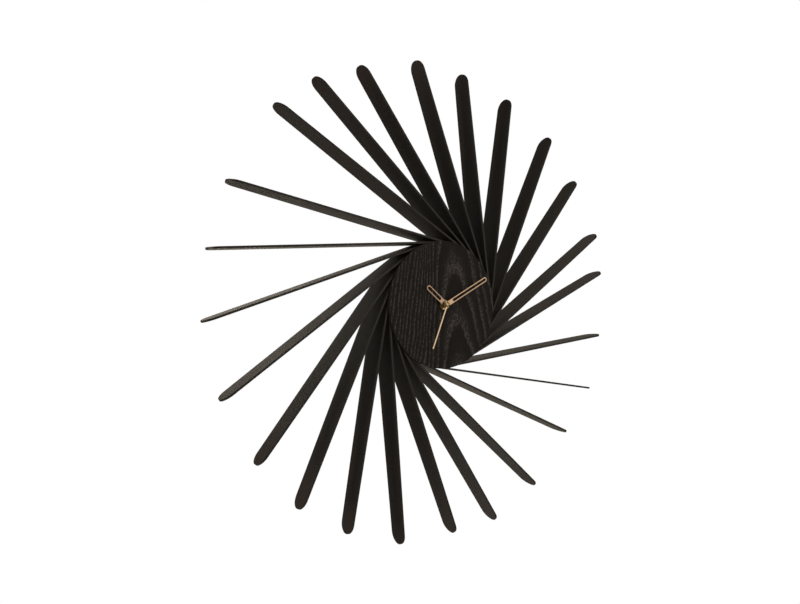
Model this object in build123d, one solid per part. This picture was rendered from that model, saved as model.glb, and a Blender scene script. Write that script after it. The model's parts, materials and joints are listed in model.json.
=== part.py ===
from build123d import *
import math
import os

# Sunburst wall clock: twenty-four black steel strips stand on edge around a
# faceted steel drum, tangent to it, so that they swirl outward.  A round
# wooden dial covers the drum's mouth and carries a quartz movement behind it.
#
# The pieces are drawn in the clock's own plane: x to the right, y up, and z
# the distance from the wall.  save() turns them so that +Z is up, the dial
# faces -Y, and the origin is on the hand axis, at the wall.

# ---------------------------------------------------------------- dimensions
RAY_T = 2.4            # strip thickness
RAY_TANGENT_R = 78.1   # circle that every strip's middle plane touches
RAY_FRONT = 39.0       # strips' front edges, from the wall
RAY_ROOT_REAR = 2.0    # strips' rear edge at the root
RAY_TAPER = 0.0386     # how fast the rear edge comes forward along the strip
# tip direction (degrees clockwise from twelve) and tip radius of each strip
RAYS = [(353.92, 305.7), (7.37, 302.1), (22.43, 302.3), (38.95, 305.7), (53.44, 303.6), (69.69, 305.6),
        (80.32, 300.1), (98.40, 295.4), (114.04, 297.4), (128.97, 288.0), (146.73, 297.6), (162.14, 299.8),
        (175.25, 292.1), (190.87, 296.9), (205.69, 296.2), (219.66, 297.3), (233.94, 295.5), (249.91, 296.6),
        (266.32, 298.6), (280.99, 298.9), (295.52, 302.2), (315.19, 310.5), (326.42, 309.5), (338.30, 303.9)]
RIVET_R = 1.6
DRUM_WALL = 1.5
DRUM_FLANGE_R = 68.0   # inner radius of the drum's rear rim
DRUM_REAR_T = 1.5
DIAL_R = 79.8
BOARD_Z = (39.0, 41.4)
VENEER_Z = (41.4, 42.0)
KEYHOLE_Y = 56.0
KEYHOLE_R = 4.5
KEYHOLE_SLOT = 4.4
CASE = 56.0            # quartz movement, square
CASE_Z = (22.0, 38.0)
CASE_WALL = 1.2
BUSH_R, BUSH_BORE, BUSH_TOP = 4.0, 2.56, 45.0
HOUR_Z, MINUTE_Z, SECOND_Z = (45.6, 46.2), (47.6, 48.2), (49.0, 49.4)
CAP_R, CAP_TOP = 3.5, 50.5
HOUR_ANGLE, MINUTE_ANGLE, SECOND_ANGLE = 308.8, 61.8, 201.6
HOUR_LEN, HOUR_W, HOUR_SLOT = 35.5, 6.6, 9.7
MINUTE_LEN, MINUTE_W, MINUTE_SLOT = 71.8, 6.0, 10.7
HAND_RAIL = 1.3
SECOND_LEN, SECOND_W = 58.3, 1.8

# gear train: module, and arbor positions in the clock's plane
M_SEC = 0.22           # rotor, intermediate and seconds wheels, third wheel
D_THIRD = (8 + 64) * M_SEC / 2
M_CENTRE = 2 * D_THIRD / (8 + 60)
M_MIN = 0.30           # cannon pinion, minute wheel and setting gear
D_MIN = (12 + 36) * M_MIN / 2
M_HOUR = 2 * D_MIN / (8 + 32)
D_INT = (60 + 10) * M_SEC / 2
D_ROT = (50 + 10) * M_SEC / 2
D_SET = (36 + 20) * M_MIN / 2


def polar(x, y, d, deg):
    return (x + d * math.cos(math.radians(deg)), y + d * math.sin(math.radians(deg)))


ARB_THIRD = polar(0, 0, D_THIRD, 60)
ARB_MIN = polar(0, 0, D_MIN, 120)
ARB_INT = polar(0, 0, D_INT, 210)
ARB_ROT = polar(ARB_INT[0], ARB_INT[1], D_ROT, 150)
ARB_SET = polar(ARB_MIN[0], ARB_MIN[1], D_SET, 90)


# ------------------------------------------------------------------- helpers
def cyl(r, z0, z1, x=0.0, y=0.0):
    return Pos(x, y, (z0 + z1) / 2) * Cylinder(r, z1 - z0)


def ring(r1, r0, z0, z1, x=0.0, y=0.0):
    return cyl(r1, z0, z1, x, y) - cyl(r0, z0 - 1, z1 + 1, x, y)


def block(x0, x1, y0, y1, z0, z1):
    return Pos((x0 + x1) / 2, (y0 + y1) / 2, (z0 + z1) / 2) * Box(x1 - x0, y1 - y0, z1 - z0)


def prism(points, z0, z1):
    face = make_face(Polyline([(p[0], p[1], z0) for p in points] + [(points[0][0], points[0][1], z0)]))
    return extrude(face, amount=z1 - z0, dir=(0, 0, 1))


def save(name, shape):
    """Turns one solid, or each solid of a group, into the row frame and writes it."""
    solids = shape if isinstance(shape, list) else [solid_of(shape)]
    turned = [s.rotate(Axis.X, 90) for s in solids]
    export_step(turned[0] if len(turned) == 1 else Compound(turned), f"parts/{name}.step")


def solid_of(shape):
    return shape.solids()[0]


# --------------------------------------------------------------------- gears
def wheel_points(n, m, turn=0.0, dense=False):
    """Flat-flanked teeth, one tooth centred at angle turn (degrees)."""
    rp = n * m / 2
    ro, rr = rp + 0.85 * m, rp - 1.15 * m
    h = math.pi / n
    pts = []
    for k in range(n):
        c = math.radians(turn) + 2 * math.pi * k / n
        for r, a in ((rr, -0.60), (ro, -0.20), (ro, 0.20), (rr, 0.60)):
            pts.append((r * math.cos(c + a * h), r * math.sin(c + a * h)))
    return pts


def pinion_points(n, m, nw, turn=0.0, clear=0.035, bins=20):
    """Teeth cut by the mating wheel of nw teeth as the pair rolls: the
    smallest radius that the wheel reaches in each direction.  A space is
    centred at angle turn (degrees), which points at the wheel."""
    d = (n + nw) * m / 2
    ro = n * m / 2 + 0.75 * m
    wp = wheel_points(nw, m, 180.0)
    # the few wheel teeth nearest to the pinion, as a dense run of points
    near = []
    for i in range(len(wp)):
        a, b = wp[i], wp[(i + 1) % len(wp)]
        if (a[0] + d) ** 2 + a[1] ** 2 < (ro + 2.6 * m) ** 2 or (b[0] + d) ** 2 + b[1] ** 2 < (ro + 2.6 * m) ** 2:
            for j in range(9):
                near.append((a[0] + (b[0] - a[0]) * j / 9, a[1] + (b[1] - a[1]) * j / 9))
    # every wheel tooth comes by in turn, so the run is taken a tooth further each way
    step = 2 * math.pi / nw
    pitch = 2 * math.pi / n
    low = [ro] * bins
    for q in range(-90, 91):
        phi = pitch * 1.5 * q / 90
        psi = -phi * n / nw
        cp, sp, cf, sf = math.cos(psi), math.sin(psi), math.cos(-phi), math.sin(-phi)
        for shift in (-1, 0, 1):
            cs, ss = math.cos(shift * step), math.sin(shift * step)
            for x, y in near:
                x1, y1 = x * cs - y * ss, x * ss + y * cs
                x2, y2 = x1 * cp - y1 * sp + d, x1 * sp + y1 * cp
                rho = math.hypot(x2, y2)
                if rho < ro:
                    x3, y3 = x2 * cf - y2 * sf, x2 * sf + y2 * cf
                    t = math.atan2(y3, x3) / pitch
                    b = int((t - math.floor(t)) * bins) % bins
                    if rho < low[b]:
                        low[b] = rho
    cut = [min(low[b - 1], low[b], low[(b + 1) % bins]) - clear for b in range(bins)]
    pts = []
    for k in range(n):
        for b in range(bins):
            a = math.radians(turn) + pitch * (k + (b + 0.5) / bins)
            pts.append((cut[b] * math.cos(a), cut[b] * math.sin(a)))
    return pts


def gear(points, z0, z1, at=(0.0, 0.0)):
    return Pos(at[0], at[1], 0) * prism(points, z0, z1)


os.makedirs("parts", exist_ok=True)

# ---------------------------------------------------------------------- rays
tangent = [a + math.degrees(math.acos(RAY_TANGENT_R / r)) for a, r in RAYS]
N = len(RAYS)
FACET_R = RAY_TANGENT_R - RAY_T / 2 - 0.02
gap = [(tangent[(k + 1) % N] - tangent[k]) % 360 for k in range(N)]

drum_outline = []
for k in range(N):
    mid = math.radians(tangent[k] + gap[k] / 2)
    rv = FACET_R / math.cos(math.radians(gap[k] / 2))
    drum_outline.append((rv * math.sin(mid), rv * math.cos(mid)))

drum = prism(drum_outline, 0, RAY_FRONT)
drum -= cyl(FACET_R - DRUM_WALL, DRUM_REAR_T, RAY_FRONT + 1)
drum -= cyl(DRUM_FLANGE_R, -1, DRUM_REAR_T + 1)

ray_rivets = []
rivet_dir = []          # direction of each strip's rivets, degrees anticlockwise from +x
for k in range(N):
    tip_r = RAYS[k][1]
    length = math.sqrt(tip_r ** 2 - RAY_TANGENT_R ** 2)
    d = math.radians(gap[k])
    s0 = max(0.0, (RAY_T + 0.25 - RAY_TANGENT_R * (1 - math.cos(d))) / math.sin(d))
    a = math.radians(tangent[k])
    u = (-math.cos(a), math.sin(a))          # along the strip, outward
    n = (math.sin(a), math.cos(a))           # across the strip, away from the hand axis
    depth = RAY_FRONT - RAY_ROOT_REAR
    r = (depth - RAY_TAPER * length) / (math.sqrt(1 + RAY_TAPER ** 2) + 1 - RAY_TAPER)
    cs, cz = length - r, RAY_FRONT - r       # centre of the half-round tip
    w = math.hypot(1, RAY_TAPER)
    ts, tz = cs + r * RAY_TAPER / w, cz - r / w
    rear0 = RAY_ROOT_REAR + RAY_TAPER * s0
    plane = Plane(origin=(RAY_TANGENT_R * n[0], RAY_TANGENT_R * n[1], 0), x_dir=(u[0], u[1], 0),
                  z_dir=(u[1], -u[0], 0))    # sketch x along the strip, sketch y along z
    outline = Line((s0, RAY_FRONT), (cs, RAY_FRONT)) + ThreePointArc((cs, RAY_FRONT), (length, cz), (ts, tz)) \
        + Line((ts, tz), (s0, rear0)) + Line((s0, rear0), (s0, RAY_FRONT))
    strip = extrude(plane * make_face(outline), amount=RAY_T / 2, both=True)
    reach = FACET_R * math.tan(math.radians(gap[k - 1]) / 2)
    sr = (s0 + reach) / 2
    rivet_dir.append((90 - tangent[k] + math.degrees(math.atan(sr / RAY_TANGENT_R))) % 360)
    for z in (9.0, 31.0):
        p = (RAY_TANGENT_R * n[0] + sr * u[0], RAY_TANGENT_R * n[1] + sr * u[1])
        axis = Plane(origin=(p[0], p[1], z), z_dir=(n[0], n[1], 0))
        hole = axis * Cylinder(RIVET_R + 0.05, 12)
        strip -= hole
        drum -= hole
        shank = axis * Pos(0, 0, -1.35) * Cylinder(RIVET_R, RAY_T + 2.7)
        head = axis * Pos(0, 0, -RAY_T / 2 - 3.2) * Cylinder(2.7, 1.1)
        ray_rivets.append(solid_of(shank + head))
    save(f"ray_{k + 1:02d}", strip)

# ------------------------------------------------------- drum, hanger, brackets
hanger = block(-20, 20, 47, 73.5, DRUM_REAR_T, DRUM_REAR_T + 1.5) & cyl(FACET_R - DRUM_WALL - 0.6, 0, 10)
hanger -= cyl(KEYHOLE_R, -1, 10, 0, KEYHOLE_Y)
hanger -= block(-KEYHOLE_SLOT / 2, KEYHOLE_SLOT / 2, KEYHOLE_Y, KEYHOLE_Y + 6.5, -1, 10)
hanger -= cyl(KEYHOLE_SLOT / 2, -1, 10, 0, KEYHOLE_Y + 6.5)
frame_rivets = []
for x in (-14.0, 14.0):
    at = (x, 70.2)
    hole = cyl(RIVET_R + 0.05, -1, 8, *at)
    hanger -= hole
    drum -= hole
    frame_rivets.append(solid_of(cyl(RIVET_R, 0.0, 3.0, *at) + cyl(2.8, 3.0, 4.0, *at)))

brackets, dial_screws = [], []
board = cyl(DIAL_R, *BOARD_Z) - cyl(4.3, 38, 43)
# each bracket sits midway between two strips' rivets
rivet_dir.sort()
between = []
for k in range(N):
    width = (rivet_dir[(k + 1) % N] - rivet_dir[k]) % 360
    if width > 14.2:
        between.append((rivet_dir[k] + width / 2) % 360)
for want in (45, 135, 225, 315):
    deg = min(between, key=lambda v: abs(v - want))
    turn = Rot(0, 0, deg)
    inner = FACET_R - DRUM_WALL - 0.05
    leg = (block(60.0, inner + 1, -6, 6, 37.5, 39.0) + block(inner - 1.5, inner + 1, -6, 6, 15.0, 39.0)) & cyl(inner, 10, 40)
    leg -= cyl(1.5, 30, 40, 66.0, 0)
    rivet_axis = Plane(origin=(inner, 0, 21.0), z_dir=(1, 0, 0))
    hole = rivet_axis * Cylinder(RIVET_R + 0.05, 12)
    leg -= hole
    drum -= turn * hole
    brackets.append(solid_of(turn * leg))
    frame_rivets.append(solid_of(turn * (rivet_axis * Pos(0, 0, (1.35 - 1.6) / 2) * Cylinder(RIVET_R, 2.95)
                                         + rivet_axis * Pos(0, 0, -2.1) * Cylinder(2.8, 1.0))))
    screw = cyl(2.6, 35.9, 37.5, 66.0, 0) + cyl(1.2, 37.5, 41.0, 66.0, 0) - block(63, 69, -0.35, 0.35, 35.0, 36.5)
    dial_screws.append(solid_of(turn * screw))
    board -= turn * cyl(1.22, 38, 41.02, 66.0, 0)
save("drum", drum)
save("ray_rivets", ray_rivets)
save("hanger_plate", hanger)
save("frame_rivets", frame_rivets)
save("dial_brackets", brackets)
save("dial_screws", dial_screws)
save("dial_board", board)
save("dial_veneer", cyl(DIAL_R, *VENEER_Z) - cyl(4.3, 40, 44))
save("gasket", ring(13.0, 4.1, 38.0, 39.0))
save("washer", ring(6.25, 4.1, 42.0, 42.5))
nut = extrude(Pos(0, 0, 42.5) * RegularPolygon(11.0 / 2, 6, major_radius=False), amount=2.2) & cyl(6.1, 42.5, 44.7)
save("hex_nut", nut - cyl(4.03, 40, 46))

# ------------------------------------------------------------------ movement
C = CASE / 2
I = C - CASE_WALL
front_case = block(-C, C, -C, C, *CASE_Z)
front_case = fillet(front_case.edges().filter_by(Axis.Z), 3.0)
front_case -= block(-I, I, -10.0, I, 21.0, 36.8)
front_case -= block(-I, I, -I, -11.2, 21.0, 37.1)
front_case -= cyl(BUSH_R + 0.01, 36, 39)
front_case += cyl(0.70, 33.05, 37.0, *ARB_MIN)
POSTS = [(-7.5, 20.0), (10.0, -8.0), (12.5, 16.0), (-17.5, -8.0)]
for x, y in POSTS:
    front_case += cyl(1.5, 25.0, 37.0, x, y) + cyl(0.8, 23.8, 25.5, x, y)
front_case += cyl(1.2, 29.0, 37.0, -12.4, 12.0) + cyl(1.1, 29.0, 37.0, -16.6, -3.3)
front_case += cyl(1.2, 36.4, 37.0, 18.0, -5.0) + cyl(1.2, 36.4, 37.0, 24.0, 20.0)
for x, y in (ARB_THIRD, ARB_INT, ARB_ROT):
    front_case -= cyl(0.45, 36.0, 37.3, x, y)
front_case -= cyl(0.65, 36.0, 37.3, *ARB_SET)
save("movement_case", front_case)

back_cover = block(-I + 0.1, I - 0.1, -9.9, I - 0.1, 22.0, 23.2)
back_cover += cyl(3.0, 21.8, 23.7, *ARB_SET)
back_cover -= cyl(1.28, 20, 25, *ARB_SET)
save("movement_back_cover", back_cover)

plate = block(-20.0, 14.5, -9.6, 21.8, 24.0, 25.0)
for x, y in POSTS:
    plate -= cyl(0.85, 23, 26, x, y)
for x, y in ((0, 0), ARB_THIRD, ARB_INT, ARB_ROT):
    plate -= cyl(0.45, 23, 26, x, y)
plate -= cyl(1.3, 23, 26, *ARB_SET)
save("train_plate", plate)
save("center_bushing", ring(BUSH_R, BUSH_BORE, 36.85, BUSH_TOP))

# stepping motor
rx, ry = ARB_ROT
stator = cyl(4.6, 28.0, 29.0, rx, ry) + block(-24, rx, -5.1, -1.5, 28.0, 29.0)
stator += block(-14.4, -10.4, 0, 25, 28.0, 29.0) + block(-24, -10.4, 21.5, 25, 28.0, 29.0)
stator += block(-22.5, -19.5, -4.8, 24.8, 29.0, 30.0)
stator -= cyl(2.8, 27, 31, rx, ry)
save("stator", stator)
bobbin = block(-24.7, -17.3, 1.5, 2.3, 25.8, 33.2) + block(-24.7, -17.3, 18.2, 19.0, 25.8, 33.2)
bobbin += Pos(-21, 10.25, 29.5) * Rot(90, 0, 0) * Cylinder(1.9, 16.5)
bobbin -= block(-22.53, -19.47, -10, 30, 28.97, 30.03)
save("coil_bobbin", bobbin)
winding = Pos(-21, 10.25, 29.5) * Rot(90, 0, 0) * Cylinder(3.3, 15.7)
winding -= Pos(-21, 10.25, 29.5) * Rot(90, 0, 0) * Cylinder(1.93, 20)
save("coil_winding", winding)
rotor = cyl(0.35, 24.1, 37.1, rx, ry) + cyl(0.8, 27.0, 30.6, rx, ry)
rotor += gear(pinion_points(10, M_SEC, 50, -30), 25.8, 27.0, ARB_ROT)
save("rotor_pinion", rotor)
save("rotor_magnet", ring(2.4, 0.82, 27.4, 30.4, rx, ry))

# seconds train
ix, iy = ARB_INT
inter = cyl(0.40, 24.1, 37.1, ix, iy) + gear(wheel_points(50, M_SEC, 150), 26.0, 26.8, ARB_INT)
inter += gear(pinion_points(10, M_SEC, 60, 30), 27.6, 28.8, ARB_INT) + cyl(0.7, 26.8, 27.6, ix, iy)
save("intermediate_wheel", inter)
second = cyl(0.40, 24.1, 49.3) + gear(wheel_points(60, M_SEC, 210), 27.8, 28.6)
second += gear(pinion_points(8, M_SEC, 64, 60), 29.4, 30.6) + cyl(0.6, 28.6, 29.4)
save("second_wheel", second)
tx, ty = ARB_THIRD
third = cyl(0.40, 24.1, 37.1, tx, ty) + gear(wheel_points(64, M_SEC, 240), 29.6, 30.4, ARB_THIRD)
third += gear(pinion_points(8, M_CENTRE, 60, 240), 31.4, 32.6, ARB_THIRD) + cyl(0.6, 30.4, 31.4, tx, ty)
save("third_wheel", third)
centre = gear(wheel_points(60, M_CENTRE, 60), 31.6, 32.4) + cyl(0.78, 31.0, 46.0) - cyl(0.45, 30, 47)
save("center_wheel", centre)

# motion works
cannon = gear(pinion_points(12, M_MIN, 36, 120), 33.0, 34.6) + cyl(1.55, 34.6, 48.4) - cyl(0.80, 32, 49)
save("cannon_pinion", cannon)
mx, my = ARB_MIN
minute_wheel = gear(wheel_points(36, M_MIN, -60), 33.2, 34.2, ARB_MIN) + cyl(0.98, 34.0, 35.0, mx, my)
minute_wheel += gear(pinion_points(8, M_HOUR, 32, -60), 34.9, 36.3, ARB_MIN)
minute_wheel -= cyl(0.75, 32, 37, mx, my)
save("minute_wheel", minute_wheel)
hour = gear(wheel_points(32, M_HOUR, 120), 35.0, 36.2) + cyl(2.49, 35.0, 46.3) - cyl(1.60, 34, 47)
save("hour_wheel", hour)
sx, sy = ARB_SET
flutes = []
for k in range(96):
    r = 7.0 if k % 4 in (0, 1) else 6.6
    flutes.append((r * math.cos(2 * math.pi * k / 96), r * math.sin(2 * math.pi * k / 96)))
knob = gear(flutes, 17.4, 21.4, ARB_SET) - (Pos(sx, sy, 17.4) * Torus(4.2, 0.9))
knob += cyl(1.2, 21.0, 33.4, sx, sy) + gear(pinion_points(20, M_MIN, 36, -90), 33.2, 34.2, ARB_SET)
knob += cyl(0.6, 34.0, 37.1, sx, sy)
save("setting_knob", knob)

# electrics
pcb = block(15.5, 26.3, -9.0, 24.0, 35.4, 36.4) + Pos(20, 16, 35.4) * Cylinder(2.4, 1.4)
save("circuit_board", pcb)
save("quartz_crystal", Pos(21, 5, 34.4) * Rot(90, 0, 0) * Cylinder(1.0, 6.0))
save("battery_contacts", [
    solid_of(block(26.0, 26.4, -24, -14, 24, 36) + Pos(25.8, -19, 29.8) * Rot(0, 90, 0) * Cylinder(1.6, 0.5)),
    solid_of(block(-26.6, -26.2, -24, -14, 24, 36) + Pos(-25.75, -19, 29.8) * Rot(0, 90, 0) * Cylinder(3.0, 1.0))])
cell = Pos(-0.5, -19, 29.8) * Rot(0, 90, 0) * Cylinder(7.1, 49.0) + Pos(24.6, -19, 29.8) * Rot(0, 90, 0) * Cylinder(2.7, 1.8)
save("battery", cell)


# --------------------------------------------------------------------- hands
def capsule(w, y0, y1, z0, z1):
    r = w / 2
    return block(-r, r, y0 + r, y1 - r, z0, z1) + cyl(r, z0, z1, 0, y0 + r) + cyl(r, z0, z1, 0, y1 - r)


def outline_hand(length, width, slot_from, hub_r, bore, z, deg):
    hand = capsule(width, -width / 2, length, *z) + cyl(hub_r, *z)
    hand -= capsule(width - 2 * HAND_RAIL, slot_from, length - HAND_RAIL, z[0] - 1, z[1] + 1)
    hand -= cyl(bore, z[0] - 1, z[1] + 1)
    return Rot(0, 0, -deg) * hand


save("hour_hand", outline_hand(HOUR_LEN, HOUR_W, HOUR_SLOT, 4.4, 2.5, HOUR_Z, HOUR_ANGLE))
save("minute_hand", outline_hand(MINUTE_LEN, MINUTE_W, MINUTE_SLOT, 4.4, 1.56, MINUTE_Z, MINUTE_ANGLE))
save("second_hand", Rot(0, 0, -SECOND_ANGLE) * (block(-SECOND_W / 2, SECOND_W / 2, 0, SECOND_LEN, *SECOND_Z)
                                                + cyl(2.2, *SECOND_Z) - cyl(0.41, 40, 49.31)))
dome_h = CAP_TOP - SECOND_Z[1]
dome_r = (CAP_R ** 2 + dome_h ** 2) / (2 * dome_h)
cap = (Pos(0, 0, CAP_TOP - dome_r) * Sphere(dome_r)) & cyl(CAP_R, SECOND_Z[1], CAP_TOP + 1)
save("second_hand_cap", cap)
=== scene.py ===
import json
import math

import bmesh
import bpy
import numpy as np
from mathutils import Matrix, Vector


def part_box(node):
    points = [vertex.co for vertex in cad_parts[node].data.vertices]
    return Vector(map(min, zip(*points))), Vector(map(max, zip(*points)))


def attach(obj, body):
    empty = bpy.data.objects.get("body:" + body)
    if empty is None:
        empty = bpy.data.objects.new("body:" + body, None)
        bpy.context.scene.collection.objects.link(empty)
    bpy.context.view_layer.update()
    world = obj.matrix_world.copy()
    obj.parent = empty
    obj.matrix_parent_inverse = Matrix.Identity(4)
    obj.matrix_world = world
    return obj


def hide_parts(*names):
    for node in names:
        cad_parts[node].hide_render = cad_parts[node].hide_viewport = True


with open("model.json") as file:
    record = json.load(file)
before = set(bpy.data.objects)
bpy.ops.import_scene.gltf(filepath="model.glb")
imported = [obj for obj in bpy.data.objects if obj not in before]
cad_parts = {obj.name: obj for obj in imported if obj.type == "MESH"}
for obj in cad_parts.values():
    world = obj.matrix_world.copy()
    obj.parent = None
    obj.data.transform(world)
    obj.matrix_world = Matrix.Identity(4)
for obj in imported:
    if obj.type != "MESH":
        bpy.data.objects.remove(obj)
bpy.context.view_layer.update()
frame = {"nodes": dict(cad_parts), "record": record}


NODES = frame["nodes"]
MM = 0.001


# ------------------------------------------------------------------ node tools
class Nodes:
    """Short-hand for building one material's node tree."""

    def __init__(self, name):
        self.mat = bpy.data.materials.new(name)
        self.mat.use_nodes = True
        self.nt = self.mat.node_tree
        self.nt.nodes.clear()
        self.out = self.nt.nodes.new("ShaderNodeOutputMaterial")
        self.bsdf = self.nt.nodes.new("ShaderNodeBsdfPrincipled")
        self.nt.links.new(self.bsdf.outputs[0], self.out.inputs[0])
        self.coord = self.nt.nodes.new("ShaderNodeTexCoord").outputs["Object"]

    def put(self, target, value):
        if isinstance(value, bpy.types.NodeSocket):
            self.nt.links.new(value, target)
        elif value is not None:
            if hasattr(target, "default_value") and hasattr(target.default_value, "__len__") and not hasattr(value, "__len__"):
                value = [value] * len(target.default_value)
            if hasattr(target.default_value, "__len__") and len(value) == 3 and len(target.default_value) == 4:
                value = (*value, 1.0)
            target.default_value = value

    def math(self, op, a, b=None, c=None, clamp=False):
        n = self.nt.nodes.new("ShaderNodeMath")
        n.operation, n.use_clamp = op, clamp
        for i, v in enumerate((a, b, c)):
            if v is not None:
                self.put(n.inputs[i], v)
        return n.outputs[0]

    def vec(self, op, a, b=None):
        n = self.nt.nodes.new("ShaderNodeVectorMath")
        n.operation = op
        self.put(n.inputs[0], a)
        if b is not None:
            self.put(n.inputs[1], b)
        return n.outputs[0]

    def xyz(self, v):
        n = self.nt.nodes.new("ShaderNodeSeparateXYZ")
        self.put(n.inputs[0], v)
        return n.outputs[0], n.outputs[1], n.outputs[2]

    def join(self, x, y, z):
        n = self.nt.nodes.new("ShaderNodeCombineXYZ")
        for i, v in enumerate((x, y, z)):
            self.put(n.inputs[i], v)
        return n.outputs[0]

    def noise(self, v, scale, detail=2.0, rough=0.5, distort=0.0):
        n = self.nt.nodes.new("ShaderNodeTexNoise")
        self.put(n.inputs["Vector"], v)
        self.put(n.inputs["Scale"], scale)
        self.put(n.inputs["Detail"], detail)
        self.put(n.inputs["Roughness"], rough)
        self.put(n.inputs["Distortion"], distort)
        return n.outputs["Fac"]

    def voronoi(self, v, scale, feature="F1", randomness=1.0):
        n = self.nt.nodes.new("ShaderNodeTexVoronoi")
        n.feature = feature
        self.put(n.inputs["Vector"], v)
        self.put(n.inputs["Scale"], scale)
        self.put(n.inputs["Randomness"], randomness)
        return n.outputs["Distance"]

    def ramp(self, fac, stops, smooth=False):
        n = self.nt.nodes.new("ShaderNodeValToRGB")
        n.color_ramp.interpolation = "EASE" if smooth else "LINEAR"
        while len(n.color_ramp.elements) < len(stops):
            n.color_ramp.elements.new(0.5)
        for e, (p, c) in zip(n.color_ramp.elements, stops):
            e.position = p
            e.color = (c, c, c, 1.0) if not hasattr(c, "__len__") else (*c, 1.0)
        self.put(n.inputs[0], fac)
        return n.outputs[0]

    def remap(self, v, lo, hi, to_lo=0.0, to_hi=1.0, smooth=False):
        n = self.nt.nodes.new("ShaderNodeMapRange")
        n.clamp = True
        n.interpolation_type = "SMOOTHSTEP" if smooth else "LINEAR"
        for i, x in enumerate((v, lo, hi, to_lo, to_hi)):
            self.put(n.inputs[i], x)
        return n.outputs[0]

    def mix(self, fac, a, b, mode="MIX"):
        n = self.nt.nodes.new("ShaderNodeMix")
        n.data_type, n.blend_type = "RGBA", mode
        self.put(n.inputs[0], fac)
        self.put(n.inputs[6], a)
        self.put(n.inputs[7], b)
        return n.outputs[2]

    def bump(self, height, distance, strength=1.0, normal=None):
        n = self.nt.nodes.new("ShaderNodeBump")
        self.put(n.inputs["Strength"], strength)
        self.put(n.inputs["Distance"], distance)
        self.put(n.inputs["Height"], height)
        if normal is not None:
            self.put(n.inputs["Normal"], normal)
        return n.outputs[0]

    def attribute(self, name):
        n = self.nt.nodes.new("ShaderNodeAttribute")
        n.attribute_name = name
        return n.outputs["Fac"]

    def set(self, **kw):
        names = {"color": "Base Color", "metal": "Metallic", "rough": "Roughness", "normal": "Normal", "ior": "IOR",
                 "spec": "Specular IOR Level", "tint": "Specular Tint", "sheen": "Sheen Weight", "sheen_rough": "Sheen Roughness",
                 "sheen_tint": "Sheen Tint", "coat": "Coat Weight", "coat_rough": "Coat Roughness", "aniso": "Anisotropic",
                 "aniso_rot": "Anisotropic Rotation", "tangent": "Tangent", "transmission": "Transmission Weight"}
        for k, v in kw.items():
            self.put(self.bsdf.inputs[names[k]], v)
        return self.mat


# ------------------------------------------------------------------- materials
def powder_coat(name, base, light, grit=1.0):
    """Fine-textured matt powder coat: a close pebbled skin over sheet steel."""
    n = Nodes(name)
    pebble = n.noise(n.coord, 1500, 3.0, 0.6)
    peel = n.noise(n.coord, 260, 2.0, 0.5)
    cloud = n.noise(n.coord, 14, 3.0, 0.55)
    fac = n.math("ADD", n.math("MULTIPLY", n.remap(pebble, 0.35, 0.70), 0.55), n.math("MULTIPLY", n.remap(cloud, 0.3, 0.7), 0.45))
    color = n.mix(fac, base, light)
    rough = n.math("ADD", n.remap(pebble, 0.3, 0.7, 0.44, 0.58), n.remap(cloud, 0.3, 0.7, -0.03, 0.03))
    low = n.bump(peel, 0.000012, 0.25 * grit)
    fine = n.bump(pebble, 0.000004, 0.35 * grit, low)
    return n.set(color=color, rough=rough, normal=fine, spec=0.5, tint=(1.0, 0.95, 0.90))


def moulded(name, base, light, grit=1.0, rough=(0.42, 0.6), pebble_scale=1900, spec=0.45):
    """Spark-eroded moulded plastic."""
    n = Nodes(name)
    pebble = n.noise(n.coord, pebble_scale, 3.0, 0.6)
    flow = n.noise(n.coord, 30, 3.0, 0.5, 0.3)
    color = n.mix(n.remap(flow, 0.3, 0.7), base, light)
    normal = n.bump(pebble, 0.00005, 0.8 * grit)
    return n.set(color=color, rough=n.remap(pebble, 0.3, 0.7, *rough), normal=normal, spec=spec)


def satin_metal(name, base, light, along, rough=(0.30, 0.40), scratch=0.12):
    """Plated sheet with fine brushing along one direction of the dial's plane (degrees clockwise from +Z)."""
    n = Nodes(name)
    x, y, z = n.xyz(n.coord)
    a = math.radians(along)
    run = n.math("ADD", n.math("MULTIPLY", x, math.sin(a)), n.math("MULTIPLY", z, math.cos(a)))
    cross = n.math("SUBTRACT", n.math("MULTIPLY", x, math.cos(a)), n.math("MULTIPLY", z, math.sin(a)))
    v = n.join(n.math("MULTIPLY", cross, 7000), n.math("MULTIPLY", y, 7000), n.math("MULTIPLY", run, 160))
    lines = n.noise(v, 1.0, 2.0, 0.6)
    cloud = n.noise(n.coord, 90, 2.0, 0.5)
    color = n.mix(n.remap(cloud, 0.3, 0.7), base, light)
    color = n.mix(n.remap(lines, 0.35, 0.65, 0.0, 0.12), color, (0.9, 0.8, 0.7))
    r = n.math("ADD", n.remap(lines, 0.3, 0.7, *rough), n.remap(cloud, 0.3, 0.7, -0.02, 0.02))
    return n.set(color=color, metal=1.0, rough=r, normal=n.bump(lines, 0.000006, scratch))


def turned_metal(name, base, light, rough=(0.26, 0.38), centre=(0.0, 0.0)):
    """Lathe-turned metal: very fine rings about the hands' axis."""
    n = Nodes(name)
    x, y, z = n.xyz(n.coord)
    dx = n.math("SUBTRACT", x, centre[0])
    dz = n.math("SUBTRACT", z, centre[1])
    r = n.math("SQRT", n.math("ADD", n.math("MULTIPLY", dx, dx), n.math("MULTIPLY", dz, dz)))
    v = n.join(n.math("MULTIPLY", r, 14000), n.math("MULTIPLY", y, 9000), 0.0)
    rings = n.noise(v, 1.0, 2.0, 0.6)
    spots = n.noise(n.coord, 700, 3.0, 0.6)
    color = n.mix(n.remap(spots, 0.35, 0.75), base, light)
    return n.set(color=color, metal=1.0, rough=n.math("ADD", n.remap(rings, 0.3, 0.7, *rough), n.remap(spots, 0.3, 0.7, -0.03, 0.05)),
                 normal=n.bump(rings, 0.000006, 0.12))


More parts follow.
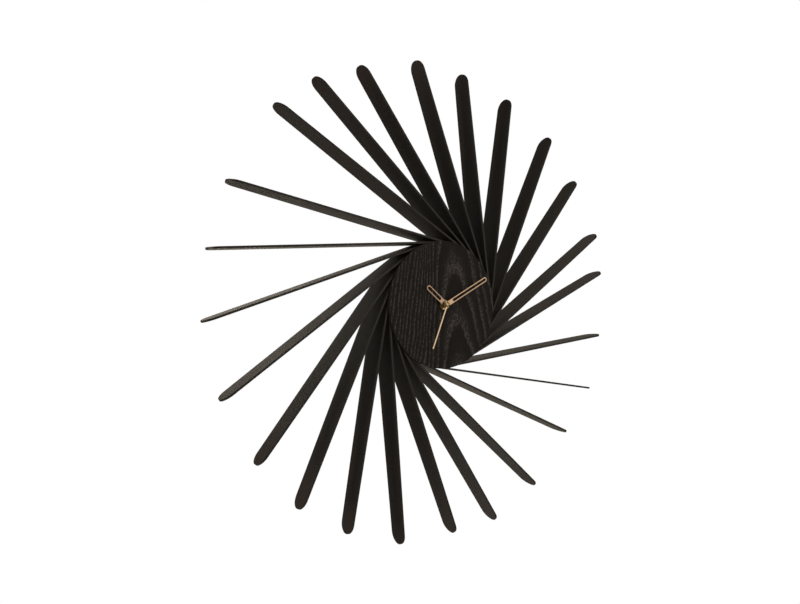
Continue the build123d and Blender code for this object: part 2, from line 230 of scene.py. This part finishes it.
def zinc(name):
    """Zinc-plated sheet steel: faint spangle, rolling lines, a little dulling."""
    n = Nodes(name)
    x, y, z = n.xyz(n.coord)
    roll = n.noise(n.join(n.math("MULTIPLY", x, 60), n.math("MULTIPLY", y, 4000), n.math("MULTIPLY", z, 4000)), 1.0, 2.0, 0.6)
    spangle = n.voronoi(n.coord, 420)
    dull = n.noise(n.coord, 60, 3.0, 0.6)
    color = n.mix(n.remap(dull, 0.35, 0.7), (0.44, 0.45, 0.46), (0.62, 0.62, 0.60))
    color = n.mix(n.remap(spangle, 0.1, 0.6, 0.0, 0.25), color, (0.72, 0.72, 0.70))
    return n.set(color=color, metal=1.0, rough=n.math("ADD", n.remap(roll, 0.3, 0.7, 0.30, 0.42), n.remap(dull, 0.3, 0.7, 0.0, 0.10)),
                 normal=n.bump(roll, 0.000015, 0.3))


def stained_veneer(name, dark, mid, light):
    """Black-stained open-grain veneer, flat-sawn: nested arches right of centre
    that straighten into upright lines, with broken pores along the fibre."""
    n = Nodes(name)
    x, y, z = n.xyz(n.coord)
    xm, zm = n.math("MULTIPLY", x, 1000.0), n.math("MULTIPLY", z, 1000.0)
    wander = n.noise(n.join(n.math("MULTIPLY", xm, 0.05), 0.0, n.math("MULTIPLY", zm, 0.018)), 1.0, 2.0, 0.5)
    wob = n.noise(n.join(n.math("MULTIPLY", xm, 0.35), 3.1, n.math("MULTIPLY", zm, 0.05)), 1.0, 2.0, 0.5)
    xc = n.math("ADD", n.math("ADD", n.math("SUBTRACT", xm, 19.5), n.math("MULTIPLY", zm, 0.07)), n.math("MULTIPLY", n.math("SUBTRACT", wander, 0.5), 9.0))
    # the left half is cut nearer the quarter: its rings stand closer and lean over
    tilt = n.math("MULTIPLY", zm, n.remap(xm, -45.0, -4.0, 0.13, 0.0, smooth=True))
    xc = n.math("SUBTRACT", xc, tilt)
    kx = n.math("MULTIPLY", xc, n.remap(xc, -62.0, -14.0, 13.8, 8.8, smooth=True))
    arch = n.math("SQRT", n.math("ADD", n.math("MULTIPLY", kx, kx), 385.0 ** 2))
    f = n.math("ADD", zm, n.math("SUBTRACT", arch, 385.0))
    f = n.math("ADD", f, n.math("MULTIPLY", n.math("SUBTRACT", wob, 0.5), 16.0))
    # growth rings: a fraction that runs from 0 to 1 across each one
    width = n.noise(n.join(n.math("MULTIPLY", f, 0.006), 7.7, 0.0), 1.0, 1.0, 0.5)
    ringpos = n.math("ADD", n.math("DIVIDE", n.math("SUBTRACT", f, 46.0), 68.0), n.math("MULTIPLY", n.math("SUBTRACT", width, 0.5), 0.35))
    frac = n.math("FRACT", n.math("ADD", ringpos, 40.0))
    early = n.ramp(frac, [(0.0, 0.95), (0.10, 1.0), (0.34, 0.55), (0.52, 0.12), (0.86, 0.02), (0.97, 0.30), (1.0, 0.95)], smooth=True)
    # fibre and pores run straight up the board: bold broken streaks in the open
    # early wood, hair lines everywhere, and short pores between them
    lean = n.math("SUBTRACT", n.math("SUBTRACT", xm, n.math("MULTIPLY", zm, 0.045)), tilt)
    bold = n.noise(n.join(n.math("MULTIPLY", lean, 0.60), 1.3, n.math("MULTIPLY", zm, 0.32)), 1.0, 2.0, 0.6)
    fine = n.noise(n.join(n.math("MULTIPLY", lean, 1.7), 0.0, n.math("MULTIPLY", zm, 0.50)), 1.0, 3.0, 0.65)
    finer = n.noise(n.join(n.math("MULTIPLY", lean, 6.5), 5.0, n.math("MULTIPLY", zm, 0.80)), 1.0, 2.0, 0.6)
    pores = n.noise(n.join(n.math("MULTIPLY", lean, 3.4), 9.0, n.math("MULTIPLY", zm, 0.75)), 1.0, 1.5, 0.55)
    pore = n.remap(pores, 0.50, 0.64, 0.0, 1.0, smooth=True)
    streak = n.math("MULTIPLY", n.remap(bold, 0.40, 0.60, 0.35, 1.0, smooth=True), n.remap(fine, 0.38, 0.60, 0.40, 1.0, smooth=True))
    lit = n.math("MULTIPLY", early, streak)
    pore_on = n.math("MULTIPLY", pore, n.remap(early, 0.05, 0.8, 0.10, 1.0))
    tone = n.math("ADD", n.math("MULTIPLY", lit, 1.15), n.math("MULTIPLY", n.remap(fine, 0.3, 0.7), 0.05))
    tone = n.math("ADD", tone, n.math("MULTIPLY", n.math("SUBTRACT", n.remap(finer, 0.35, 0.65), 0.5), n.remap(lit, 0.0, 0.6, 0.05, 0.34)))
    tone = n.math("ADD", tone, n.math("MULTIPLY", pore_on, 0.14), clamp=True)
    color = n.ramp(tone, [(0.0, dark), (0.40, mid), (1.0, light)])
    height = n.math("SUBTRACT", n.math("MULTIPLY", lit, 0.35), n.math("MULTIPLY", pore_on, n.remap(finer, 0.4, 0.6, 0.4, 1.0)))
    rough = n.math("ADD", n.remap(early, 0.0, 1.0, 0.56, 0.70), n.math("MULTIPLY", pore_on, 0.12))
    return n.set(color=color, rough=rough, normal=n.bump(height, 0.00012, 0.7), spec=0.16, tint=(1.0, 0.95, 0.9))


def stained_edge(name):
    """Edge and back of the board: the same stain over fibreboard, slightly fuzzy."""
    n = Nodes(name)
    x, y, z = n.xyz(n.coord)
    ply = n.noise(n.join(n.math("MULTIPLY", x, 120), n.math("MULTIPLY", y, 5200), n.math("MULTIPLY", z, 120)), 1.0, 2.0, 0.6)
    fuzz = n.noise(n.coord, 2600, 3.0, 0.65)
    color = n.mix(n.remap(ply, 0.35, 0.7), (0.012, 0.010, 0.009), (0.030, 0.025, 0.021))
    color = n.mix(n.remap(fuzz, 0.45, 0.8, 0.0, 0.5), color, (0.055, 0.044, 0.035))
    return n.set(color=color, rough=n.remap(fuzz, 0.3, 0.7, 0.6, 0.78), normal=n.bump(fuzz, 0.00008, 0.6), spec=0.25)


def rubber(name):
    n = Nodes(name)
    grain = n.noise(n.coord, 3000, 2.0, 0.6)
    dust = n.noise(n.coord, 240, 4.0, 0.6)
    color = n.mix(n.remap(dust, 0.5, 0.8, 0.0, 0.6), (0.012, 0.012, 0.012), (0.05, 0.048, 0.045))
    return n.set(color=color, rough=n.remap(grain, 0.3, 0.7, 0.62, 0.8), normal=n.bump(grain, 0.00004, 0.6), spec=0.3)


def enamelled_wire(name):
    """Layers of fine enamelled copper wire, wound about the coil's upright axis."""
    n = Nodes(name)
    x, y, z = n.xyz(n.coord)
    turns = n.math("SINE", n.math("MULTIPLY", n.math("ADD", z, n.math("MULTIPLY", n.noise(n.coord, 300, 1.0), 0.00012)), 2 * math.pi / 0.00018))
    cloud = n.noise(n.coord, 500, 2.0, 0.5)
    color = n.mix(n.remap(cloud, 0.3, 0.7), (0.50, 0.17, 0.05), (0.72, 0.30, 0.11))
    return n.set(color=color, metal=0.85, rough=n.remap(cloud, 0.3, 0.7, 0.22, 0.34), normal=n.bump(turns, 0.00006, 0.9),
                 coat=0.6, coat_rough=0.12)


def acetal(name):
    n = Nodes(name)
    flow = n.noise(n.coord, 160, 3.0, 0.55, 0.5)
    grain = n.noise(n.coord, 2400, 2.0, 0.5)
    color = n.mix(n.remap(flow, 0.3, 0.7), (0.70, 0.69, 0.63), (0.82, 0.81, 0.76))
    return n.set(color=color, rough=n.remap(grain, 0.3, 0.7, 0.32, 0.44), normal=n.bump(grain, 0.00002, 0.4), spec=0.5)


def solder_mask(name):
    """Green mask over copper tracks that show as slightly lighter, raised lines."""
    n = Nodes(name)
    x, y, z = n.xyz(n.coord)
    u = n.math("ABSOLUTE", n.math("SUBTRACT", n.math("FRACT", n.math("MULTIPLY", n.math("ADD", x, z), 420.0)), 0.5))
    w = n.math("ABSOLUTE", n.math("SUBTRACT", n.math("FRACT", n.math("MULTIPLY", z, 260.0)), 0.5))
    track = n.math("MAXIMUM", n.remap(u, 0.30, 0.34), n.remap(w, 0.38, 0.42))
    where = n.remap(n.noise(n.coord, 220, 1.0), 0.47, 0.53)
    track = n.math("MULTIPLY", track, where)
    weave = n.noise(n.coord, 1800, 2.0)
    color = n.mix(track, (0.010, 0.090, 0.030), (0.030, 0.200, 0.070))
    return n.set(color=color, rough=n.remap(weave, 0.3, 0.7, 0.22, 0.34), normal=n.bump(track, 0.00004, 0.7), coat=0.5, coat_rough=0.15)


def ferrite(name):
    n = Nodes(name)
    grain = n.noise(n.coord, 2600, 3.0, 0.7)
    color = n.mix(n.remap(grain, 0.35, 0.7), (0.035, 0.035, 0.038), (0.10, 0.10, 0.105))
    return n.set(color=color, metal=0.5, rough=n.remap(grain, 0.3, 0.7, 0.45, 0.65), normal=n.bump(grain, 0.00003, 0.7))


def cell_sleeve(name):
    """Plain printed sleeve in two bands, with the bare steel of the ends."""
    n = Nodes(name)
    x, y, z = n.xyz(n.coord)
    xm = n.math("MULTIPLY", x, 1000.0)
    wear = n.noise(n.coord, 900, 4.0, 0.65)
    cloud = n.noise(n.coord, 70, 2.0)
    sleeve = n.mix(n.remap(cloud, 0.3, 0.7), (0.30, 0.33, 0.33), (0.38, 0.41, 0.40))
    band = n.remap(xm, 12.0, 12.15)
    sleeve = n.mix(band, sleeve, (0.045, 0.105, 0.085))
    line = n.math("MULTIPLY", n.remap(xm, 11.0, 11.05), n.math("SUBTRACT", 1.0, n.remap(xm, 11.5, 11.55)))
    sleeve = n.mix(line, sleeve, (0.75, 0.75, 0.74))
    ends = n.math("MAXIMUM", n.remap(xm, 23.6, 23.65), n.math("SUBTRACT", 1.0, n.remap(xm, -24.75, -24.70)))
    color = n.mix(ends, sleeve, (0.62, 0.62, 0.61))
    scuff = n.remap(wear, 0.62, 0.75, 0.0, 0.35)
    color = n.mix(scuff, color, (0.55, 0.55, 0.54))
    metal = n.math("MAXIMUM", ends, 0.25)
    return n.set(color=color, metal=metal, rough=n.math("ADD", n.remap(wear, 0.3, 0.7, 0.20, 0.34), 0.0), coat=0.4, coat_rough=0.1,
                 normal=n.bump(wear, 0.00001, 0.3))


MINUTE_DEG, HOUR_DEG, SECOND_DEG = 61.8, 308.8, 201.6
MAT = {
    "ray_black": powder_coat("ray_powder_coat", (0.0105, 0.0088, 0.0072), (0.0200, 0.0168, 0.0138)),
    "drum_black": powder_coat("drum_powder_coat", (0.009, 0.008, 0.007), (0.016, 0.014, 0.012)),
    "veneer_black": stained_veneer("stained_veneer", (0.0125, 0.0112, 0.0099), (0.0400, 0.0368, 0.0338), (0.145, 0.136, 0.126)),
    "board_wood": stained_edge("stained_board"),
    "steel_bright": zinc("zinc_plate"),
    "rubber_black": rubber("gasket_rubber"),
    "brass": turned_metal("turned_brass", (0.59, 0.42, 0.18), (0.71, 0.54, 0.28)),
    "case_black": moulded("moulded_black", (0.022, 0.022, 0.023), (0.034, 0.034, 0.035)),
    "plate_white": moulded("moulded_white", (0.66, 0.66, 0.63), (0.76, 0.76, 0.73), 0.6),
    "gear_white": acetal("acetal"),
    "copper_wire": enamelled_wire("enamelled_wire"),
    "magnet": ferrite("ferrite"),
    "pcb_green": solder_mask("solder_mask"),
    "battery_label": cell_sleeve("cell_sleeve"),
    # the hour and minute hands are one copper, and these two copies carry painted light: the minute hand's copy is
    # painted lighter, as lit, and the hour hand's darker, as shaded
    "hand_copper": satin_metal("hand_copper_hour_painted_shade", (0.40, 0.275, 0.168), (0.47, 0.33, 0.215), HOUR_DEG),
    "hand_copper_minute_painted_lit": satin_metal("hand_copper_minute_painted_lit", (0.58, 0.40, 0.245), (0.67, 0.475, 0.31), MINUTE_DEG),
    "hand_gold": satin_metal("hand_gold", (0.70, 0.545, 0.335), (0.78, 0.64, 0.43), SECOND_DEG, rough=(0.26, 0.34)),
}
SLOT_OF = {s["node"]: s["material_slot"] for s in frame["record"]["subparts"]}
BODY_OF = {node: body for body, nodes in frame["record"]["behaviour"]["bodies"].items() for node in nodes}


def paint(obj, slot, key=None):
    obj.data.materials.clear()
    obj.data.materials.append(MAT[key or slot])


for name, obj in NODES.items():
    # the minute hand takes the copper copy that is painted lighter, as lit
    key = "hand_copper_minute_painted_lit" if name == "minute_hand" else SLOT_OF[name]
    if obj.material_slots:
        for s in obj.material_slots:
            s.material = MAT[key]
    else:
        obj.data.materials.append(MAT[key])


# ------------------------------------------------------------- mesh from nodes
def node_bmesh(node):
    """The CAD node's surface with its flat faces rejoined, ready to bevel."""
    bm = bmesh.new()
    bm.from_mesh(NODES[node].data)
    bmesh.ops.remove_doubles(bm, verts=bm.verts, dist=2e-6)
    bmesh.ops.dissolve_degenerate(bm, edges=bm.edges, dist=1e-6)
    bmesh.ops.dissolve_limit(bm, angle_limit=math.radians(0.5), verts=bm.verts, edges=bm.edges)
    return bm


def object_from(bm, name, smooth_deg=30):
    mesh = bpy.data.meshes.new(name)
    bmesh.ops.recalc_face_normals(bm, faces=bm.faces)
    bm.to_mesh(mesh)
    bm.free()
    obj = bpy.data.objects.new(name, mesh)
    bpy.context.scene.collection.objects.link(obj)
    if smooth_deg:
        for p in mesh.polygons:
            p.use_smooth = True
        mesh.set_sharp_from_angle(angle=math.radians(smooth_deg))
    return obj


def settle(obj):
    """Applies an object's modifiers, and weights its normals by face area so
    that flat faces stay flat beside their rounded edges."""
    for p in obj.data.polygons:
        p.use_smooth = True
    weigh = obj.modifiers.new("weigh", "WEIGHTED_NORMAL")
    weigh.mode, weigh.weight, weigh.keep_sharp = "FACE_AREA", 50, False
    dg = bpy.context.evaluated_depsgraph_get()
    mesh = bpy.data.meshes.new_from_object(obj.evaluated_get(dg))
    obj.modifiers.clear()
    old = obj.data
    obj.data = mesh
    bpy.data.meshes.remove(old)


def round_edges(node, width, segments=2, angle=40, name=None):
    """A copy of the node with its sharp edges rounded inwards."""
    bm = node_bmesh(node)
    obj = object_from(bm, name or node + "_skin", 0)
    mod = obj.modifiers.new("round", "BEVEL")
    mod.width, mod.segments, mod.limit_method, mod.angle_limit = width, segments, "ANGLE", math.radians(angle)
    mod.use_clamp_overlap, mod.harden_normals = True, False
    settle(obj)
    # the minute hand's skin takes the copper copy that is painted lighter, as lit
    key = "hand_copper_minute_painted_lit" if node == "minute_hand" else None
    paint(obj, SLOT_OF[node], key)
    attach(obj, BODY_OF[node])
    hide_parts(node)
    return obj


for k in range(1, 25):
    round_edges(f"ray_{k:02d}", 0.35 * MM, 3)
for node in ("hour_hand", "minute_hand"):
    round_edges(node, 0.16 * MM, 2)
round_edges("second_hand", 0.12 * MM, 2)
round_edges("dial_veneer", 0.25 * MM, 3)
round_edges("dial_board", 0.2 * MM, 2)
round_edges("washer", 0.10 * MM, 2)
round_edges("movement_case", 0.5 * MM, 3)
round_edges("movement_back_cover", 0.3 * MM, 2)
round_edges("hanger_plate", 0.2 * MM, 2)
round_edges("dial_brackets", 0.25 * MM, 2)
round_edges("frame_rivets", 0.30 * MM, 3)
round_edges("ray_rivets", 0.32 * MM, 3)
round_edges("dial_screws", 0.25 * MM, 2)
round_edges("hex_nut", 0.14 * MM, 2)
round_edges("drum", 0.30 * MM, 2)


# ------------------------------------------------------------- moulded details
def at(x, y, z):
    """A point given across, up and out from the wall (mm), as a vector in metres."""
    return Vector((x * MM, -z * MM, y * MM))


def lathe(name, profile, place, steps=72, smooth_deg=35):
    """Turns (along, radius) points, in mm, about an axis; place maps (along, a, b)."""
    bm = bmesh.new()
    loops = []
    for along, r in profile:
        if r < 1e-6:
            loops.append([bm.verts.new(place(along, 0.0, 0.0))])
        else:
            loops.append([bm.verts.new(place(along, r * math.cos(2 * math.pi * k / steps), r * math.sin(2 * math.pi * k / steps)))
                          for k in range(steps)])
    for a, b in zip(loops, loops[1:]):
        for k in range(steps):
            m = (k + 1) % steps
            if len(a) == 1:
                bm.faces.new((a[0], b[m], b[k]))
            elif len(b) == 1:
                bm.faces.new((a[k], a[m], b[0]))
            else:
                bm.faces.new((a[k], a[m], b[m], b[k]))
    return object_from(bm, name, smooth_deg)


def slab(bm, outline, z0, z1):
    """A closed prism between two heights out from the wall, from (x, y) points in mm."""
    low = [bm.verts.new(at(x, y, z0)) for x, y in outline]
    high = [bm.verts.new(at(x, y, z1)) for x, y in outline]
    bm.faces.new(low)
    bm.faces.new(list(reversed(high)))
    n = len(outline)
    for k in range(n):
        m = (k + 1) % n
        bm.faces.new((low[m], low[k], high[k], high[m]))


def rect(x0, x1, y0, y1):
    return [(x0, y0), (x1, y0), (x1, y1), (x0, y1)]


def disc(x, y, r, steps=40):
    return [(x + r * math.cos(2 * math.pi * k / steps), y + r * math.sin(2 * math.pi * k / steps)) for k in range(steps)]


def arc_band(cx, cy, r0, r1, a0, a1, steps=60):
    """A curved band from a0 to a1 degrees, clockwise from up, as an outline."""
    out = []
    for r, seq in ((r1, range(steps + 1)), (r0, range(steps, -1, -1))):
        for k in seq:
            a = math.radians(a0 + (a1 - a0) * k / steps)
            out.append((cx + r * math.sin(a), cy + r * math.cos(a)))
    return out


def soften(obj, width, segments=2, angle=40):
    mod = obj.modifiers.new("round", "BEVEL")
    mod.width, mod.segments, mod.limit_method, mod.angle_limit = width * MM, segments, "ANGLE", math.radians(angle)
    mod.use_clamp_overlap = True
    settle(obj)


def detail(bm, name, slot, body, width=0.08):
    obj = object_from(bm, name, 0)
    soften(obj, width)
    paint(obj, slot)
    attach(obj, body)
    return obj


CASE = BODY_OF["movement_case"]
lo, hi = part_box("setting_knob")
KX, KY = (lo[0] + hi[0]) / 2 / MM, (lo[2] + hi[2]) / 2 / MM
lo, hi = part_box("movement_back_cover")
COVER = (lo[0] / MM, hi[0] / MM, lo[2] / MM, hi[2] / MM)
COVER_Z = 22.0                                # outer face of the cover, out from the wall
lo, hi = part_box("movement_case")
HALF = hi[0] / MM

# the way the hands turn, as a raised curved arrow round the setting knob
bm = bmesh.new()
slab(bm, arc_band(KX, KY, 9.0, 9.7, 35, 300), COVER_Z - 0.30, COVER_Z + 0.05)
a = math.radians(35)
tip, side = (math.sin(a), math.cos(a)), (math.cos(a), -math.sin(a))
cx, cy = KX + 9.35 * tip[0], KY + 9.35 * tip[1]
slab(bm, [(cx + 1.3 * tip[0] + 0.1 * side[0], cy + 1.3 * tip[1] + 0.1 * side[1]),
          (cx - 1.3 * tip[0] + 0.1 * side[0], cy - 1.3 * tip[1] + 0.1 * side[1]),
          (cx - 2.6 * side[0], cy - 2.6 * side[1])], COVER_Z - 0.30, COVER_Z + 0.05)
detail(bm, "knob_arrow", "case_black", CASE)

# snap tabs, ejector pads and a stiffening frame on the cover
bm = bmesh.new()
for x in (-16.0, 16.0):
    slab(bm, rect(x - 3.0, x + 3.0, COVER[3] - 1.9, COVER[3] - 0.2), COVER_Z - 0.45, COVER_Z + 0.05)
for y in (2.0, 18.0):
    slab(bm, rect(COVER[0] + 0.2, COVER[0] + 1.7, y - 2.5, y + 2.5), COVER_Z - 0.45, COVER_Z + 0.05)
    slab(bm, rect(COVER[1] - 1.7, COVER[1] - 0.2, y - 2.5, y + 2.5), COVER_Z - 0.45, COVER_Z + 0.05)
detail(bm, "cover_snap_tabs", "case_black", CASE, 0.15)
bm = bmesh.new()
for x, y in ((-22.5, -5.5), (22.5, -5.5), (-22.5, 21.5), (22.5, 21.5)):
    slab(bm, disc(x, y, 1.6), COVER_Z - 0.18, COVER_Z + 0.05)
detail(bm, "cover_ejector_pads", "case_black", CASE, 0.06)
bm = bmesh.new()
for k in range(7):
    x = -20.5 + k * 2.2
    slab(bm, rect(x - 0.45, x + 0.45, -6.6, 4.5), COVER_Z - 0.35, COVER_Z + 0.05)
detail(bm, "cover_ribs", "case_black", CASE, 0.12)

# ribs up the outside of the moulded case
bm = bmesh.new()
for k in range(9):
    p = -20.0 + 5.0 * k
    slab(bm, rect(HALF - 0.05, HALF + 0.35, p - 0.5, p + 0.5), 24.0, 37.2)
    slab(bm, rect(-HALF - 0.35, -HALF + 0.05, p - 0.5, p + 0.5), 24.0, 37.2)
    slab(bm, rect(p - 0.5, p + 0.5, HALF - 0.05, HALF + 0.35), 24.0, 37.2)
    slab(bm, rect(p - 0.5, p + 0.5, -HALF - 0.35, -HALF + 0.05), 24.0, 37.2)
detail(bm, "case_ribs", "case_black", CASE, 0.12)

# plain polarity marks beside the cell's two ends, on the bay's divider
bm = bmesh.new()
mz0, mz1 = COVER_Z - 0.28, COVER_Z + 0.05
slab(bm, rect(20.6, 23.4, -8.35, -7.65), mz0, mz1)
slab(bm, rect(21.65, 22.35, -9.4, -8.40), mz0, mz1)
slab(bm, rect(21.65, 22.35, -7.60, -6.6), mz0, mz1)
slab(bm, rect(-23.4, -20.6, -8.35, -7.65), mz0, mz1)
detail(bm, "polarity_marks", "case_black", CASE, 0.05)

# the cell: crimped ends, shrunk sleeve and terminal button
lo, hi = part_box("battery")
CX0, CX1 = lo[0] / MM, hi[0] / MM
CY, CZ, CR = (lo[2] + hi[2]) / 2 / MM, -(lo[1] + hi[1]) / 2 / MM, (hi[2] - lo[2]) / 2 / MM


def along_x(u, a, b):
    return at(u, CY + a, CZ + b)


cell = lathe("cell", [(CX0 + 0.25, 0.0), (CX0 + 0.25, 4.4), (CX0 + 0.02, 4.7), (CX0 + 0.02, 6.1), (CX0 + 0.22, 6.6),
                      (CX0 + 0.30, CR - 0.28), (CX0 + 0.42, CR - 0.10), (CX0 + 0.70, CR - 0.02), (CX0 + 1.1, CR - 0.02), (0.0, CR - 0.02),
                      (CX1 - 3.2, CR - 0.02), (CX1 - 2.25, CR - 0.03), (CX1 - 1.95, CR - 0.12), (CX1 - 1.80, CR - 0.45), (CX1 - 1.76, CR - 1.2),
                      (CX1 - 1.95, CR - 1.5), (CX1 - 1.95, 3.3), (CX1 - 1.70, 2.95), (CX1 - 1.35, 2.70), (CX1 - 0.35, 2.68),
                      (CX1 - 0.10, 2.55), (CX1 - 0.01, 2.25), (CX1 - 0.01, 0.0)], along_x)
paint(cell, SLOT_OF["battery"])
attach(cell, BODY_OF["battery"])
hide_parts("battery")

# ---------------------------------------------------------------- stage, light
floor_mesh = bmesh.new()
bmesh.ops.create_circle(floor_mesh, cap_ends=True, radius=1.5, segments=96)
floor = object_from(floor_mesh, "floor", 0)
floor.location = (0, 0, -1.25)
fn = Nodes("floor_pale")
speck = fn.noise(fn.coord, 40, 3.0, 0.6)
floor_mat = fn.set(color=fn.mix(speck, (0.86, 0.86, 0.86), (0.92, 0.92, 0.92)), rough=0.8, spec=0.1)
seen = fn.nt.nodes.new("ShaderNodeLightPath").outputs["Is Camera Ray"]
fn.put(fn.bsdf.inputs["Emission Color"], (0.80, 0.80, 0.79))
fn.put(fn.bsdf.inputs["Emission Strength"], fn.math("MULTIPLY", seen, 0.62))
floor.data.materials.append(floor_mat)


def area(name, at, aim, size, power, size_y=None, color=(1, 1, 1)):
    data = bpy.data.lights.new(name, "AREA")
    data.shape = "RECTANGLE" if size_y else "SQUARE"
    data.size = size
    if size_y:
        data.size_y = size_y
    data.energy, data.color = power, color
    obj = bpy.data.objects.new(name, data)
    bpy.context.scene.collection.objects.link(obj)
    obj.location = at
    obj.rotation_euler = (Vector(aim) - Vector(at)).to_track_quat("-Z", "Y").to_euler()
    obj.visible_camera = False
    return obj


# LIGHTS BEGIN
# soft boxes, mostly behind, whose light skims the strips; all are slightly warm
AREAS = [
    ("back", (0.30, 2.40, 0.20), 1.0, (7.9, 7.4, 6.0)),
    ("back_low_right", (1.10, 2.20, 0.20), 1.0, (3.3, 2.9, 2.4)),
    ("back_right", (1.90, 1.70, 0.20), 1.2, (2.0, 1.7, 1.35)),
    ("back_raised", (0.57, 2.28, 0.50), 0.9, (2.4, 2.1, 1.8)),
    ("back_high", (1.30, 1.44, 1.41), 0.9, (1.2, 1.03, 0.86)),
    ("back_under", (0.85, 2.09, -0.82), 0.9, (0.8, 0.67, 0.56)),
    ("right_under", (1.41, 1.68, -0.98), 0.9, (1.55, 1.43, 1.07)),
    ("overhead", (0.20, 1.60, 1.80), 1.4, (1.5, 1.25, 1.0)),
    ("left", (-2.40, 0.00, 0.30), 1.2, (28.8, 22.5, 19.6)),
    ("back_left", (-1.60, 1.80, 0.20), 1.2, (0.65, 0.60, 0.55)),
    ("back_left_high", (-0.58, 2.18, 0.82), 0.9, (0.6, 0.55, 0.50)),
    ("near_low", (-0.25, 1.20, -0.40), 0.4, (0.08, 0.072, 0.064)),
    ("front_right", (1.35, -2.05, 0.15), 2.0, (12.0, 11.0, 10.0)),
    ("front_high", (0.00, -2.20, 1.60), 1.4, (6.5, 6.0, 5.5)),
]
WASH = (0.092, 0.085, 0.078)
# LIGHTS END
for name, at, size, watts in AREAS:
    top = max(watts)
    area(name, at, (0, 0, 0), size, top, color=tuple(w / top for w in watts))

# a white studio: full white to the eye, a soft dim wash as light
world = bpy.data.worlds.new("studio")
bpy.context.scene.world = world
world.use_nodes = True
wt = world.node_tree
wash = wt.nodes["Background"]
wash.inputs[0].default_value = (*WASH, 1)
wash.inputs[1].default_value = 1.0
white = wt.nodes.new("ShaderNodeBackground")
white.inputs[0].default_value = (1, 1, 1, 1)
white.inputs[1].default_value = 1.0
pick = wt.nodes.new("ShaderNodeMixShader")
path = wt.nodes.new("ShaderNodeLightPath")
wt.links.new(path.outputs["Is Camera Ray"], pick.inputs[0])
wt.links.new(wash.outputs[0], pick.inputs[1])
wt.links.new(white.outputs[0], pick.inputs[2])
wt.links.new(pick.outputs[0], wt.nodes["World Output"].inputs[0])

scene = bpy.context.scene
scene.view_settings.view_transform = "Standard"
scene.view_settings.look = "None"

cam_data = bpy.data.cameras.new("camera")
cam_data.sensor_width = 36.0
cam_data.lens = 30.852
cam_data.clip_start, cam_data.clip_end = 0.01, 50
cam_data.shift_x, cam_data.shift_y = -0.00062, 0.0005
cam = bpy.data.objects.new("camera", cam_data)
scene.collection.objects.link(cam)
fwd, up = Vector((0.5355, 0.8445, 0.0124)).normalized(), Vector((-0.0066, -0.0105, 0.9999))
right = fwd.cross(up).normalized()
up = right.cross(fwd).normalized()
cam.matrix_world = Matrix(((right.x, up.x, -fwd.x, -0.50366), (right.y, up.y, -fwd.y, -0.73524),
                           (right.z, up.z, -fwd.z, -0.00788), (0, 0, 0, 1)))
scene.camera = cam
